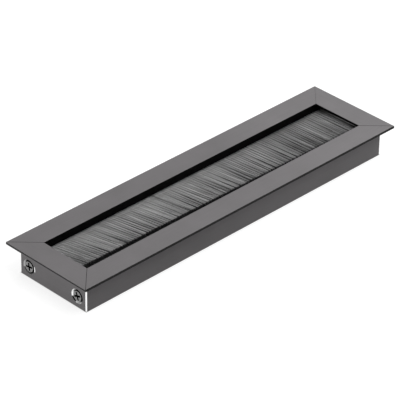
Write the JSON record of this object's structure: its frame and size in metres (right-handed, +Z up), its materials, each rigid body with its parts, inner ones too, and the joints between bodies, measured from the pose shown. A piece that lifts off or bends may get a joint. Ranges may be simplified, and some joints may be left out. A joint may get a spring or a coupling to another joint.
{
  "type": "desk cable grommet",
  "caption": "Rectangular desk cable grommet: a low aluminium frame with a mitred flange that lies on the desk, and a strip brush across the opening that cables pass through.",
  "frame": {"origin": "middle of the frame's underside, on the surface that it stands on", "axes": "+X along the frame, +Y towards the profile that holds the brush, +Z up through the opening"},
  "size_m": [0.25, 0.065, 0.02],
  "materials": {
    "frame": "dark grey anodised, satin",
    "screws": "dark zinc plated, low gloss",
    "backing": "zinc plated",
    "core_wire": "drawn",
    "bristles": "black nylon filaments, slightly glossy"
  },
  "bodies": {
    "root": {"long_profile_far": "frame", "long_profile_near": "frame", "end_profile_left": "frame", "end_profile_right": "frame", "end_screws": "screws", "brush_backing": "backing", "brush_core_wire": "core_wire", "brush_bristles": "bristles"}
  },
  "joints": []
}
